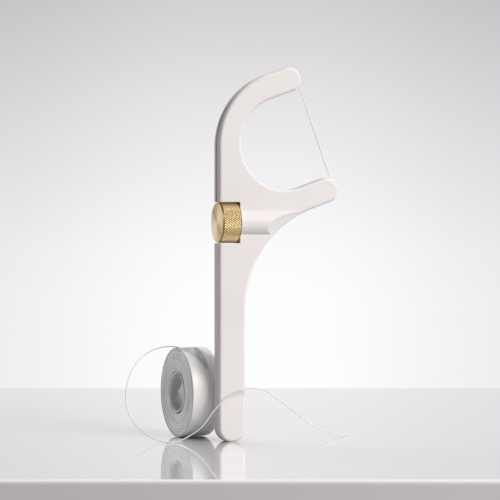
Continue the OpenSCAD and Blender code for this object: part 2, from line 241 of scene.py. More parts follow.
tableValues = {
    "near": 0.4775,  # from the camera along its view to the front and back edges
    "far": 0.7955,
    "halfWidth": 0.75,
    "thickness": 0.04,
    "edgeRadius": 0.0012,
    "edgeSteps": 4,
    "topColour": (0.95, 0.945, 0.96, 1),
    # the front face is painted greyer than the top, as painted shade
    "shadedFrontColour": (0.86, 0.84, 0.85, 1),
    "topSlope": (0.2, 0.9),  # the front's colour up to the first, the top's from the second
    "polish": 0.035,
    "glossLeast": 0.08,
    "glossMost": 0.77,
    "glossFacing": (0.45, 0.9),
    "bounce": 0.42,  # share of its brightness that it throws back on the object
}


def tableMaterial():
    v = tableValues
    material = bpy.data.materials.new("glossyTable")
    material.use_nodes = True
    tree = material.node_tree
    tree.nodes.clear()
    normal = put(tree, "ShaderNodeNewGeometry").outputs["Normal"]
    upward = spread(tree, axisPart(tree, normal, "Z"), *v["topSlope"])
    # faces that turn away from the top take the greyer front colour, as painted shade
    surface = mixColours(tree, upward, v["shadedFrontColour"], v["topColour"])
    bounced = put(tree, "ShaderNodeLightPath").outputs["Is Diffuse Ray"]
    kept = calc(tree, "MULTIPLY_ADD", bounced, v["bounce"] - 1, 1)
    body = put(tree, "ShaderNodeBsdfDiffuse", inputs={"Color": dimmed(tree, surface, kept)})
    mirror = put(tree, "ShaderNodeBsdfAnisotropic", inputs={"Color": (1, 1, 1, 1), "Roughness": v["polish"]})
    facing = put(tree, "ShaderNodeLayerWeight", inputs={"Blend": 0.5}).outputs["Facing"]
    share = spread(tree, facing, *v["glossFacing"], v["glossLeast"], v["glossMost"])
    onTop = product(tree, share, upward, kept)
    mixed = put(tree, "ShaderNodeMixShader", inputs={0: onTop, 1: body.outputs[0], 2: mirror.outputs[0]})
    put(tree, "ShaderNodeOutputMaterial", inputs={"Surface": mixed.outputs[0]})
    return material


def makeTable():
    v = tableValues
    eye = Vector(cameraValues["place"])
    eye.z = 0
    box = bmesh.new()
    bmesh.ops.create_cube(box, size=1)
    for corner in box.verts:
        deep = v["near"] if corner.co.y < 0 else v["far"]
        wide = math.copysign(v["halfWidth"], corner.co.x)
        low = 0 if corner.co.z > 0 else -v["thickness"]
        corner.co = eye + lookAlong * deep + lookRight * wide + Vector((0, 0, low))
    bmesh.ops.bevel(box, geom=list(box.edges), offset=v["edgeRadius"], segments=v["edgeSteps"],
                    profile=0.5, affect="EDGES")
    bmesh.ops.recalc_face_normals(box, faces=box.faces)
    mesh = bpy.data.meshes.new("tableTop")
    box.to_mesh(mesh)
    box.free()
    top = linkObject(bpy.data.objects.new("tableTop", mesh))
    setMaterial(top, tableMaterial())
    return top


table = makeTable()
print("table made")


# lamps: key from the front right, weak fill from the front, back lamp for the table and the coil

lampValues = {
    "aim": (0.008, 0, 0.05),
    "key": {"place": (0.46, -0.74, 0.62), "size": 0.6, "power": 9.7, "colour": (1.0, 0.975, 0.95)},
    "fill": {"place": (0.2, -1.0, 0.12), "size": 0.7, "power": 0.85, "colour": (1.0, 0.985, 0.975)},
    "back": {"place": (-0.25, 0.75, 0.85), "size": 0.9, "power": 8.0, "colour": (0.97, 0.98, 1.0)},
}


def makeLamp(which):
    given = lampValues[which]
    data = bpy.data.lights.new(which + "Lamp", "AREA")
    data.shape = "DISK"
    data.size = given["size"]
    data.energy = given["power"]
    data.color = given["colour"]
    lamp = linkObject(bpy.data.objects.new(which + "Lamp", data))
    lamp.location = given["place"]
    aim = Vector(lampValues["aim"]) - Vector(given["place"])
    lamp.rotation_euler = aim.to_track_quat("-Z", "Y").to_euler()
    lamp.visible_camera = False
    return lamp


def lampReach(lamp):
    # a lamp with such a collection lights what is linked in it, or all but what it excludes
    reach = bpy.data.collections.new(lamp.name + "Reach")
    reach.objects.link(table)
    lamp.light_linking.receiver_collection = reach
    return reach


makeLamp("key")
fillReach = lampReach(makeLamp("fill"))  # all but the table
fillReach.collection_objects[0].light_linking.link_state = "EXCLUDE"
backReach = lampReach(makeLamp("back"))  # the coil's pieces are linked when they are made
print("lamps made")


# backdrop: pale at the horizon, greyer upwards and to the sides, dim behind the camera

backdropValues = {
    "heights": (-0.05, 0.15),
    "tones": [
        (0.0, (0.992, 0.992, 0.995)), (0.11, (0.99, 0.99, 0.992)), (0.25, (0.965, 0.962, 0.975)),
        (0.39, (0.905, 0.898, 0.915)), (0.53, (0.845, 0.835, 0.855)), (0.67, (0.785, 0.772, 0.795)),
        (0.805, (0.718, 0.703, 0.725)), (0.935, (0.655, 0.64, 0.662)), (1.0, (0.63, 0.615, 0.64)),
    ],
    "sides": (0.02, 0.16),
    "sideTone": 0.86,
    "turnAway": (-0.5, 0.55),
    "behindTone": 0.2,
    "light": 0.92,
}


def makeBackdrop():
    v = backdropValues
    world = bpy.data.worlds.new("paleBackdrop")
    bpy.context.scene.world = world
    world.use_nodes = True
    tree = world.node_tree
    tree.nodes.clear()
    direction = put(tree, "ShaderNodeTexCoord").outputs["Generated"]

    def towards(axis):
        dot = put(tree, "ShaderNodeVectorMath", {"operation": "DOT_PRODUCT"}, {0: direction, 1: tuple(axis)})
        return dot.outputs["Value"]

    tone = rampOf(tree, spread(tree, axisPart(tree, direction, "Z"), *v["heights"]), v["tones"])
    aside = calc(tree, "ABSOLUTE", towards(lookRight))
    edge = spread(tree, aside, *v["sides"], 1.0, v["sideTone"], smooth=True)
    ahead = spread(tree, towards(lookAlong), *v["turnAway"], v["behindTone"], 1.0, smooth=True)
    shaded = dimmed(tree, tone, product(tree, edge, ahead))
    seen = put(tree, "ShaderNodeBackground", inputs={"Color": shaded, "Strength": 1.0})
    light = put(tree, "ShaderNodeBackground", inputs={"Color": shaded, "Strength": v["light"]})
    ray = put(tree, "ShaderNodeLightPath")
    direct = calc(tree, "MAXIMUM", ray.outputs["Is Camera Ray"], ray.outputs["Is Glossy Ray"])
    direct = calc(tree, "MAXIMUM", direct, ray.outputs["Is Transmission Ray"])
    mixed = put(tree, "ShaderNodeMixShader", inputs={0: direct, 1: light.outputs[0], 2: seen.outputs[0]})
    put(tree, "ShaderNodeOutputWorld", inputs={"Surface": mixed.outputs[0]})


makeBackdrop()
bpy.context.scene.view_settings.view_transform = "Standard"
print("backdrop made")


# floss strands: several filaments twisted into one round thread

strandValues = {
    "diameter": 0.0004,
    "filaments": 4,
    "filamentDepth": 0.02,  # share of the radius
    "twistPitch": 0.0032,
    "sides": 12,
    "step": 0.00032,
    "startSide": (0.31, 0.42, 0.85),  # no strand starts out this way
    "colour": (0.86, 0.855, 0.85),
    "colourBright": (0.93, 0.925, 0.92),
    "patchScale": 260.0,
    "fibreScale": 4200.0,
    "fibreDepth": 0.00001,
}


def flossMaterial():
    v = strandValues
    material, tree, shader = newMaterial(
        "waxedFloss", Base_Color=(*v["colour"], 1), Roughness=0.58, Specular_IOR_Level=0.3,
        Subsurface_Weight=0.5, Subsurface_Scale=0.0005, Subsurface_Radius=(1.0, 1.0, 1.0))
    place = objectPlace(tree)
    patches = noise(tree, place, v["patchScale"], 3.0)
    tone = rampOf(tree, patches, [(0.3, v["colour"]), (0.7, v["colourBright"])])
    tree.links.new(tone, shader.inputs["Base Color"])
    addBump(tree, shader, noise(tree, place, v["fibreScale"], 2.0), v["fibreDepth"], 0.4)
    return material


flossFinish = flossMaterial()


def evenPath(points, step):
    points = np.asarray(points, float)
    run = np.concatenate([[0], np.cumsum(np.linalg.norm(np.diff(points, axis=0), axis=1))])
    count = max(int(round(run[-1] / step)), 2)
    at = np.linspace(0, run[-1], count + 1)
    return np.stack([np.interp(at, run, points[:, k]) for k in range(3)], axis=1), at


def sweepStrand(name, points):
    v = strandValues
    path, along = evenPath(points, v["step"])
    ahead = np.gradient(path, axis=0)
    ahead /= np.linalg.norm(ahead, axis=1)[:, None]
    side = np.cross(ahead[0], v["startSide"])
    side /= np.linalg.norm(side)
    radius = v["diameter"] / 2
    sides = v["sides"]
    around = np.arange(sides) / sides * 2 * math.pi
    vertices = []
    for place, forward, run in zip(path, ahead, along):
        side = side - forward * side.dot(forward)
        side /= np.linalg.norm(side)
        up = np.cross(forward, side)
        twist = 2 * math.pi * run / v["twistPitch"]
        hollow = 1 - np.cos(v["filaments"] * (around - twist))
        lobes = radius * (1 - v["filamentDepth"] * hollow / 2)
        ring = place + lobes[:, None] * (np.cos(around)[:, None] * side + np.sin(around)[:, None] * up)
        vertices.extend(ring)
    faces = ringFaces(len(path), sides)
    faces.append(tuple(range(sides - 1, -1, -1)))
    last = (len(path) - 1) * sides
    faces.append(tuple(range(last, last + sides)))
    return setMaterial(meshObject(name, vertices, faces), flossFinish), path


# the coil's own axes: along its axis, to its back and up from its centre

coilPlaceValues = {"centre": (-7.8, 17.8, 14.7), "turn": 5.2}  # millimetres and degrees

coilMiddle = Matrix.Translation(Vector(coilPlaceValues["centre"]) * mm)
coilPlace = coilMiddle @ Matrix.Rotation(math.radians(coilPlaceValues["turn"]), 4, "Z")


def onCoil(along, back, up):
    return coilPlace @ (Vector((along, back, up)) * mm)


# the coil's free end: off the top, round to the left, over the table and in front of the grip

tailValues = {
    "windEnd": (-3.78, 0.4, 14.5),  # where the outer layer ends, on the coil's axes
    "windLead": (-3.78, 1.2, 14.5),
    "smoothing": 12,
    "route": [
        (-13, 19.7, 29.5), (-16, 19.7, 29.5), (-20.5, 18.7, 28.5), (-25.2, 16.5, 26), (-29, 14.2, 21.7),
        (-31, 12, 17), (-31.7, 10, 12.2), (-31, 8, 8.2), (-28.5, 5.6, 4.4), (-24.5, 2.9, 1.2),
        (-20.8, 0.7, 0.3), (-17.5, 0, 0.4), (-13.5, -0.9, 2.3), (-9.8, -2.3, 5.3), (-6.9, -3.4, 9.5),
        (-2.6, -4.4, 14.5), (0.6, -4.7, 16.4), (3.9, -4.9, 17.3), (10, -5, 16.5), (14, -4.9, 13.8),
        (18.7, -4.4, 10.5), (26, -3, 5.3), (32.4, -1.4, 2.2), (40.2, 1.6, 0.4), (43.9, 4.4, 0.2),
    ],
}


def blendRoute(knots, steps):
    # smooth curve through the inner knots, as the solid's route is made
    out = []
    for a, b, c, d in zip(knots, knots[1:], knots[2:], knots[3:]):
        for j in range(steps):
            t = j / steps
            out.append(b + t / 2 * (c - a + t * (2 * a - 5 * b + 4 * c - d + t * (3 * b - a - 3 * c + d))))
    out.append(knots[-2])
    return out


def makeFlossTail():
    start = onCoil(*tailValues["windEnd"])
    route = [Vector(p) * mm for p in tailValues["route"]]
    knots = [start, onCoil(*tailValues["windLead"])] + route + [2 * route[-1] - route[-2]]
    radius = strandValues["diameter"] / 2
    points = [start] + blendRoute(knots, tailValues["smoothing"])
    points = [(p.x, p.y, max(p.z, radius)) for p in points]
    tail, path = sweepStrand("flossTail", points)
    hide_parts("floss_tail")
    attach(tail, "coil")


makeFlossTail()


# sizes of the handle, its notch and its floss track, in millimetres, as the solids have them

handleSizes = {  # flossSeat is how far the floss's middle lies off the wall that it follows
    "height": 120.5, "gripWidth": 9.0, "armWidth": 8.0, "armReach": 8.5, "armRise": 20.0,
    "bowRadius": 15.0, "bowX": 18.0, "backRadius": 25.2, "grooveDepth": 1.0, "ductOff": 4.3,
    "knobZ": 70.1, "knobDiameter": 13.0, "knobLength": 6.4, "knobInset": 0.2, "knobGap": 0.12,
    "clampGap": 0.5, "flossSeat": 0.225, "wrapRadius": 3.1, "wrapEnd": 165.0,
}


# floss loaded in the handle: round the stud, up the groove, over the gap and back through the duct

loadedValues = {
    "cornerReach": 0.8, "cornerSteps": 5, "backSteps": 40, "tipSteps": 16,
    "risePoints": 14, "fallPoints": 16,
}


def arcPoints(centre, radius, start, stop, count):
    turn = np.radians(np.linspace(start, stop, count + 1))
    return [(centre.x + radius * math.cos(t), 0, centre.z + radius * math.sin(t)) for t in turn]


def softCorner(before, corner, after):
    before, corner, after = Vector(before), Vector(corner), Vector(after)
    a = corner + (before - corner).normalized() * loadedValues["cornerReach"]
    b = corner + (after - corner).normalized() * loadedValues["cornerReach"]
    count = loadedValues["cornerSteps"]
    steps = [i / count for i in range(count + 1)]
    return [tuple((1 - t) ** 2 * a + 2 * t * (1 - t) * corner + t * t * b) for t in steps]


def loadedRoute():
    v = handleSizes
    armRise = math.radians(v["armRise"])
    alongArm = Vector((math.cos(armRise), 0, math.sin(armRise)))
    overArm = Vector((-math.sin(armRise), 0, math.cos(armRise)))
    tipRadius = v["armWidth"] / 2
    armMiddle = v["bowRadius"] + tipRadius
    bowZ = v["height"] - tipRadius - v["armReach"] * alongArm.z - armMiddle * overArm.z
    armEnd = Vector((v["bowX"], 0, bowZ)) + v["armReach"] * alongArm
    upperTip = armEnd + armMiddle * overArm
    lowerTip = armEnd - armMiddle * overArm
    backX = v["backRadius"] - v["gripWidth"] / 2
    backOff = armEnd.dot(overArm) + v["bowRadius"] + v["armWidth"] - v["backRadius"]
    backCentre = Vector((backX, 0, (backOff - backX * overArm.x) / overArm.z))

    trackIn = v["grooveDepth"] - v["flossSeat"]
    tipIn = tipRadius - trackIn
    notchX = v["knobLength"] + v["knobInset"] + v["clampGap"] - v["gripWidth"] / 2
    clampX = notchX - v["flossSeat"]
    notchTop = v["knobZ"] + v["knobDiameter"] / 2 + v["knobGap"] + trackIn
    notchCorner = Vector((clampX, 0, notchTop))
    edgeCorner = Vector((trackIn - v["gripWidth"] / 2, 0, notchTop))
    ductFrom = Vector((notchX, 0, v["knobZ"] + v["ductOff"]))
    duct = (lowerTip - ductFrom).normalized()
    ductCorner = ductFrom - v["flossSeat"] / duct.x * duct
    ductRise = math.atan2(duct.z, duct.x)
    tipCorner = lowerTip + tipIn * alongArm + tipIn * math.tan(ductRise - armRise) * overArm

    def onWall(angle):
        t = math.radians(angle)
        return (clampX, v["wrapRadius"] * math.sin(t), v["knobZ"] + v["wrapRadius"] * math.cos(t))

    def leaving(corner):
        return math.degrees(math.acos(v["wrapRadius"] / (corner.z - v["knobZ"])))

    count = loadedValues
    back = arcPoints(backCentre, v["backRadius"] - trackIn, 180, 90 + v["armRise"], count["backSteps"])
    tip = arcPoints(upperTip, tipIn, 90 + v["armRise"], v["armRise"], count["tipSteps"])
    rise = [onWall(a) for a in np.linspace(v["wrapEnd"], leaving(notchCorner), count["risePoints"])]
    fall = [onWall(-a) for a in np.linspace(leaving(ductCorner), v["wrapEnd"], count["fallPoints"])]
    route = rise + softCorner(rise[-1], notchCorner, edgeCorner)
    route += softCorner(notchCorner, edgeCorner, back[0]) + back + tip
    route += softCorner(tip[-1], tipCorner, ductCorner)
    route += softCorner(tipCorner, ductCorner, fall[0]) + fall
    return route


def makeLoadedFloss():
    strand, _ = sweepStrand("loadedFloss", [Vector(p) * mm for p in loadedRoute()])
    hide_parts("loaded_floss")
    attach(strand, "handle")
    print("loaded floss made")


makeLoadedFloss()


# handle: moulded plate, kept from the frame with its own finish

handleValues = {
    "colour": (0.89, 0.855, 0.85),
    "colourWarm": (0.865, 0.83, 0.825),
    "cloudScale": 35.0,
    "roughness": 0.5,
    "roughnessWorn": (0.46, 0.56),
    "wornScale": 130.0,
    "grainScale": 1800.0,
    "grainDepth": 0.000006,
}


def finishHandle():
    v = handleValues
    material, tree, shader = newMaterial(
        "satinPlastic", Base_Color=(*v["colour"], 1), Roughness=v["roughness"],
        Specular_IOR_Level=0.3, Coat_Weight=0.05, Coat_Roughness=0.3)
    place = objectPlace(tree)
    clouds = noise(tree, place, v["cloudScale"], 2.0)
    tone = rampOf(tree, clouds, [(0.35, v["colourWarm"]), (0.65, v["colour"])])
    tree.links.new(tone, shader.inputs["Base Color"])
    worn = noise(tree, place, v["wornScale"], 4.0)
    tree.links.new(spread(tree, worn, 0.3, 0.7, *v["roughnessWorn"]), shader.inputs["Roughness"])
    addBump(tree, shader, noise(tree, place, v["grainScale"], 3.0), v["grainDepth"], 0.6)
    setMaterial(cadNodes["handle_frame"], material)


finishHandle()
print("handle finished")


# knob: turned brass cap with a diamond knurl round it

knobValues = {  # in millimetres; knurlFrom and knurlTo from the face, the recess and bore from the end
    "faceX": handleSizes["knobInset"] - handleSizes["gripWidth"] / 2,
    "axisZ": handleSizes["knobZ"],
    "radius": handleSizes["knobDiameter"] / 2,
    "length": handleSizes["knobLength"],
    "segments": 160,
    "keptEdges": 28,  # degrees, sharper edges stay sharp
    "dish": [(0.02, 0), (0.01, 0.9), (0.0, 2.5)],  # depth and radius, the face is hollow in the middle
    "faceRadius": 6.44, "chamfer": 0.12, "chamferFrom": 0.05, "chamferMiddle": (0.03, 0.04),
    "grooveWall": 0.02, "grooveDepth": 0.04, "endChamfer": 0.12,
    "recessRadius": 5.1, "recessDepth": 0.75, "boreRadius": 1.45, "boreDepth": 4.2,
    "knurlFrom": 0.24, "knurlTo": 6.25, "knurlLap": 0.06, "knurlDepth": 0.14, "knurlSunk": 0.004,
    "diamondsAround": 52, "diamondRows": 10, "tipShare": 0.22,
}

brassValues = {  # tones, and in millimetres where on the knob they change
    "roughness": 0.32, "anisotropic": 0.75, "knurlRoughness": 0.38,
    # deep to bright: dark patina and painted shade in the roots, up to a painted highlight on the tips
    "deep": (0.40, 0.17, 0.035), "middle": (0.99, 0.55, 0.14), "bright": (1.0, 0.90, 0.56),
    # slopes and nearSide: painted shade on the facets that face towards the knob's face
    "knurlStops": (0.16, 0.32, 0.62), "tipBelow": 0.03, "slopes": (-0.2, 0.2), "nearSide": 0.62,
    # fan: painted highlight and painted shade in sectors of the face
    "fan": [(0.0, (0.40, 0.27, 0.14)), (0.35, (0.68, 0.49, 0.26)), (1.0, (0.90, 0.71, 0.42))],
    "fanTurn": 0.785, "fanReach": 0.95, "marksPerMetre": 9000.0, "marksTone": 0.2, "marksDepth": 0.000004,
    # rim and root: painted shade in the groove by the face and on the core under the knurl
    "rim": (0.34, 0.21, 0.08), "root": (0.14, 0.08, 0.03),
    "skinDepth": 0.13, "skinFrom": 0.06, "rootBefore": 0.04,
}


def turnedPiece(name, outline, axisZ, segments):
    # an outline of (along X, radius) spun round a line along X at this height, a radius of 0 closes it
    vertices, faces, rings = [], [], []
    for x, r in outline:
        if r == 0:
            rings.append([len(vertices)])
            vertices.append((x, 0, axisZ))
            continue
        rings.append(list(range(len(vertices), len(vertices) + segments)))
        for k in range(segments):
            t = 2 * math.pi * k / segments
            vertices.append((x, r * math.cos(t), axisZ + r * math.sin(t)))
    for a, b in zip(rings, rings[1:]):
        for k in range(segments):
            n = (k + 1) % segments
            if len(a) == 1:
                faces.append((a[0], b[k], b[n]))
            elif len(b) == 1:
                faces.append((a[k], b[0], a[n]))
            else:
                faces.append((a[k], b[k], b[n], a[n]))
    return outwards(meshObject(name, np.array(vertices) * mm, faces), weld=1e-8)


def sharpenBy(obj, degrees):
    # smooth shading that keeps edges sharper than the angle
    mesh = obj.data
    edges = bmesh.new()
    edges.from_mesh(mesh)
    limit = math.radians(degrees)
    for e in edges.edges:
        e.smooth = len(e.link_faces) == 2 and e.calc_face_angle(0) < limit
    edges.to_mesh(mesh)
    edges.free()


def fromAxis(tree):
    inputs = {"Vector": objectPlace(tree), "Location": (0, 0, -knobValues["axisZ"] * mm)}
    return put(tree, "ShaderNodeMapping", inputs=inputs).outputs[0]


def offAxis(tree):
    # the place seen from the knob's axis, and the distance from it
    centred = fromAxis(tree)
    flat = put(tree, "ShaderNodeVectorMath", {"operation": "MULTIPLY"}, {0: centred, 1: (0, 1, 1)})
    far = put(tree, "ShaderNodeVectorMath", {"operation": "LENGTH"}, {0: flat.outputs[0]})
    return flat.outputs[0], far.outputs["Value"]


def knurlMaterial():
    # dark patina and painted shade between the diamonds, a painted highlight on their tips, and painted
    # shade on the slopes towards the knob's face
    v, b = knobValues, brassValues
    material, tree, shader = newMaterial("knurledBrass", Metallic=1.0, Roughness=b["knurlRoughness"])
    _, radius = offAxis(tree)
    foot = (v["radius"] - v["knurlDepth"]) * mm
    raised = spread(tree, radius, foot, (v["radius"] - b["tipBelow"]) * mm)
    tones = (b["deep"], b["middle"], b["bright"])
    # patina and painted shade low between the diamonds, painted highlight on the tips
    knurled = rampOf(tree, raised, list(zip(b["knurlStops"], tones)))
    normal = put(tree, "ShaderNodeNewGeometry").outputs["True Normal"]
    # facets that face towards the knob's face, away from the lamp, are painted darker as painted shade
    slopeShade = spread(tree, axisPart(tree, normal, "X"), *b["slopes"], b["nearSide"], 1.0)
    tree.links.new(dimmed(tree, knurled, slopeShade), shader.inputs["Base Color"])
    return material


def knobMaterial():
    # turned marks round the axis; the fan of light that they give the face is also painted into the colour,
    # as painted highlight and painted shade in sectors
    v, b = knobValues, brassValues
    material, tree, shader = newMaterial(
        "turnedBrass", Metallic=1.0, Roughness=b["roughness"], Anisotropic=b["anisotropic"])
    flat, radius = offAxis(tree)
    tangent = put(tree, "ShaderNodeVectorMath", {"operation": "CROSS_PRODUCT"}, {0: (1, 0, 0), 1: flat})
    tangent = put(tree, "ShaderNodeVectorMath", {"operation": "NORMALIZE"}, {0: tangent.outputs[0]})
    tree.links.new(tangent.outputs[0], shader.inputs["Tangent"])
    marks = lineNoise(tree, product(tree, radius, b["marksPerMetre"]), 2.0)
    angle = calc(tree, "ARCTAN2", axisPart(tree, flat, "Z"), axisPart(tree, flat, "Y"))
    fan = calc(tree, "ABSOLUTE", calc(tree, "COSINE", total(tree, angle, b["fanTurn"])))
    fan = calc(tree, "MULTIPLY_ADD", marks, b["marksTone"], fan)
    faceFanHighlight = rampOf(tree, product(tree, fan, b["fanReach"]), b["fan"])
    along = axisPart(tree, objectPlace(tree), "X")
    # behind the face the skin is painted dark as painted shade: the groove in the rim tone, the core under
    # the knurl in the root tone
    skin = calc(tree, "GREATER_THAN", radius, (v["radius"] - v["knurlDepth"] - b["skinDepth"]) * mm)
    behindFace = calc(tree, "GREATER_THAN", along, (v["faceX"] + b["skinFrom"]) * mm)
    underKnurl = calc(tree, "GREATER_THAN", along, (v["faceX"] + v["knurlFrom"] - b["rootBefore"]) * mm)
    skinShadeTone = mixColours(tree, underKnurl, (*b["rim"], 1), (*b["root"], 1))
    colour = mixColours(tree, product(tree, skin, behindFace), faceFanHighlight, skinShadeTone)
    tree.links.new(colour, shader.inputs["Base Color"])
    addBump(tree, shader, marks, b["marksDepth"], 0.35)
    return material


def startTree(name, counts, sizes):
    # a geometry tree with whole-number inputs named in counts and the others in sizes
    tree = bpy.data.node_groups.new(name, "GeometryNodeTree")
    sockets = tree.interface
    sockets.new_socket("Geometry", in_out="OUTPUT", socket_type="NodeSocketGeometry")
    for label in counts:
        sockets.new_socket(label, in_out="INPUT", socket_type="NodeSocketInt")
    for label in sizes:
        sockets.new_socket(label, in_out="INPUT", socket_type="NodeSocketFloat")
    return tree, tree.nodes.new("NodeGroupInput").outputs


def endTree(tree, last, material):
    real = put(tree, "GeometryNodeRealizeInstances", inputs={"Geometry": last.outputs[0]})
    inputs = {"Geometry": real.outputs[0], "Material": material}
    painted = put(tree, "GeometryNodeSetMaterial", inputs=inputs)
    put(tree, "NodeGroupOutput", inputs={0: painted.outputs[0]})
    return tree


def knurlTree(material):
    tree, given = startTree("diamondKnurl", ("Around", "Rows"), (
        "Radius", "Depth", "From", "To", "Tip Share", "Axis Height"))
    line = put(tree, "GeometryNodeMeshLine", inputs={"Count": product(tree, given["Around"], given["Rows"])})
    index = put(tree, "GeometryNodeInputIndex").outputs[0]
    row = calc(tree, "FLOOR", calc(tree, "DIVIDE", total(tree, index, 0.5), given["Around"]))
    column = calc(tree, "SUBTRACT", index, product(tree, row, given["Around"]))
    shift = product(tree, calc(tree, "FLOORED_MODULO", row, 2.0), 0.5)
    angle = product(tree, total(tree, column, shift), 2 * math.pi)
    angle = calc(tree, "DIVIDE", angle, given["Around"])
    reach = calc(tree, "SUBTRACT", given["To"], given["From"])
    halfLong = calc(tree, "DIVIDE", reach, total(tree, given["Rows"], 1.0))
    along = total(tree, given["From"], product(tree, total(tree, row, 1.0), halfLong))
    foot = calc(tree, "SUBTRACT", given["Radius"], given["Depth"])
    aside = product(tree, calc(tree, "COSINE", angle), foot)
    high = total(tree, product(tree, calc(tree, "SINE", angle), foot), given["Axis Height"])
    points = put(tree, "GeometryNodeSetPosition", inputs={
        "Geometry": line.outputs[0], "Position": combine(tree, along, aside, high)})
    diamond = put(tree, "GeometryNodeMeshCone", inputs={
        "Vertices": 4, "Side Segments": 1, "Fill Segments": 1, "Radius Top": given["Tip Share"],
        "Radius Bottom": 1.0, "Depth": 1.0,
    })
    halfWide = calc(tree, "DIVIDE", product(tree, foot, math.pi), given["Around"])
    diamonds = put(tree, "GeometryNodeInstanceOnPoints", inputs={
        "Points": points.outputs[0], "Instance": diamond.outputs["Mesh"],
        "Rotation": combine(tree, calc(tree, "SUBTRACT", angle, math.pi / 2)),
        "Scale": combine(tree, halfLong, halfWide, given["Depth"]),
    })
    return endTree(tree, diamonds, material)


def grownMesh(name, tree, values, material):
    # runs a geometry tree on an empty mesh and keeps its result as a plain mesh
    holder = linkObject(bpy.data.objects.new(name + "Source", bpy.data.meshes.new(name + "Source")))
    modifier = holder.modifiers.new("grow", "NODES")
    modifier.node_group = tree
    for socket in tree.interface.items_tree:
        if socket.in_out == "INPUT" and socket.name in values:
            modifier[socket.identifier] = values[socket.name]
    mesh = shapedMesh(holder)
    mesh.name = name
    bpy.data.objects.remove(holder)
    obj = linkObject(bpy.data.objects.new(name, mesh))
    return setMaterial(obj, material)


def knobOutline():
    # points of (along X, radius) from the middle of the face round to the bottom of the bore
    v = knobValues
    near, end = v["faceX"], v["faceX"] + v["length"]
    face = v["faceRadius"]
    core = v["radius"] - v["knurlDepth"] + v["knurlSunk"]
    groove = core - v["grooveDepth"]
    band = near + v["knurlFrom"]
    deep, inward = v["chamferMiddle"]
    outline = [(near + depth, radius) for depth, radius in v["dish"]]
    outline += [(near, face - v["chamfer"] - v["chamferFrom"]), (near + deep, face - inward)]
    outline += [(near + v["chamfer"], face), (near + v["chamfer"] + v["grooveWall"], groove)]
    outline += [(band - v["grooveWall"], groove), (band, core), (near + v["knurlTo"], core)]
    outline += [(end, core - v["endChamfer"]), (end, v["recessRadius"])]
    outline += [(end - v["recessDepth"], v["recessRadius"]), (end - v["recessDepth"], v["boreRadius"])]
    return outline + [(end - v["boreDepth"], v["boreRadius"]), (end - v["boreDepth"], 0)]


def makeKnob():
    v = knobValues
    body = turnedPiece("knobBody", knobOutline(), v["axisZ"], v["segments"])
    sharpenBy(body, v["keptEdges"])
    setMaterial(body, knobMaterial())
    knurled = knurlMaterial()
    knurl = grownMesh("knobKnurl", knurlTree(knurled), {
        "Around": v["diamondsAround"], "Rows": v["diamondRows"], "Tip Share": v["tipShare"],
        "Radius": v["radius"] * mm, "Depth": v["knurlDepth"] * mm, "Axis Height": v["axisZ"] * mm,
        "From": (v["faceX"] + v["knurlFrom"] - v["knurlLap"]) * mm,
        "To": (v["faceX"] + v["knurlTo"]) * mm,
    }, knurled)
    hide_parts("tension_knob")
    for piece in (body, knurl):
        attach(piece, "knob")
    print("knob made, %d knurl faces" % len(knurl.data.polygons))


makeKnob()


# screw parts inside the notch and boss, kept from the frame with turned finishes

screwValues = {
    "steel": (0.66, 0.67, 0.69), "steelRoughness": 0.3,
    "brass": (0.72, 0.55, 0.28), "brassRoughness": 0.38,
    "darkShare": 0.82, "brightShare": 1.08,
    "marks": (6000, 350, 350),  # per metre, fine along the axis
    "marksDepth": 0.000008,
}


def screwMaterial(name, colour, roughness):
    v = screwValues
    material, tree, shader = newMaterial(name, Base_Color=(*colour, 1), Metallic=1.0, Roughness=roughness)
    lathe = put(tree, "ShaderNodeMapping", inputs={"Vector": fromAxis(tree), "Scale": v["marks"]})
    marks = noise(tree, lathe.outputs[0], 1.0, 3.0)
    dark = tuple(v["darkShare"] * c for c in colour)
    bright = tuple(min(v["brightShare"] * c, 1) for c in colour)
    tree.links.new(rampOf(tree, marks, [(0.3, dark), (0.7, bright)]), shader.inputs["Base Color"])
    addBump(tree, shader, marks, v["marksDepth"], 0.5)
    return material


steelFinish = screwMaterial("turnedSteel", screwValues["steel"], screwValues["steelRoughness"])
insertFinish = screwMaterial("insertBrass", screwValues["brass"], screwValues["brassRoughness"])
for part in ("clamp_stud", "clamp_washer", "retaining_ring"):
    setMaterial(cadNodes[part], steelFinish)
setMaterial(cadNodes["threaded_insert"], insertFinish)
print("screw parts finished")


# refill coil: floss wound to and fro round an open centre, in millimetres on the coil's axes

woundValues = {
    "tones": [(0.2, (0.45, 0.44, 0.45)), (0.46, (0.85, 0.845, 0.84)), (0.75, (0.99, 0.985, 0.975))],
    "turnShare": 0.55,  # of the tone, the rest comes from the clouds
    "cloudScale": 170.0,
    "fibres": (9.0, 22.0, 1.0),
    "fibreDepth": 0.00006,
}

treadValues = {
    "Turns": 70.0, "Steps": 7000, "Around": 6, "Radius From": 14.42, "Radius To": 14.63,
    "Side": 0.0, "Traverse": 5.34, "Crossings": 1.021, "Crown": 0.1, "Width": 0.72, "Thickness": 0.1,
    # the shift at the end of the next line lifts the tread's tone, a painted sheen
    "Waver": 0.03, "Waver Rate": 1.37, "Seed": 4.0, "Painted Light Shift": 0.2,
    "Seam Depth": 0.36, "Seam Width": 0.45, "Seam Middle": 1.05, "Seam Rise": -3.0,
    "Shade": 0.7, "Shade From": -12.5, "Shade Rise": 33.0,
}

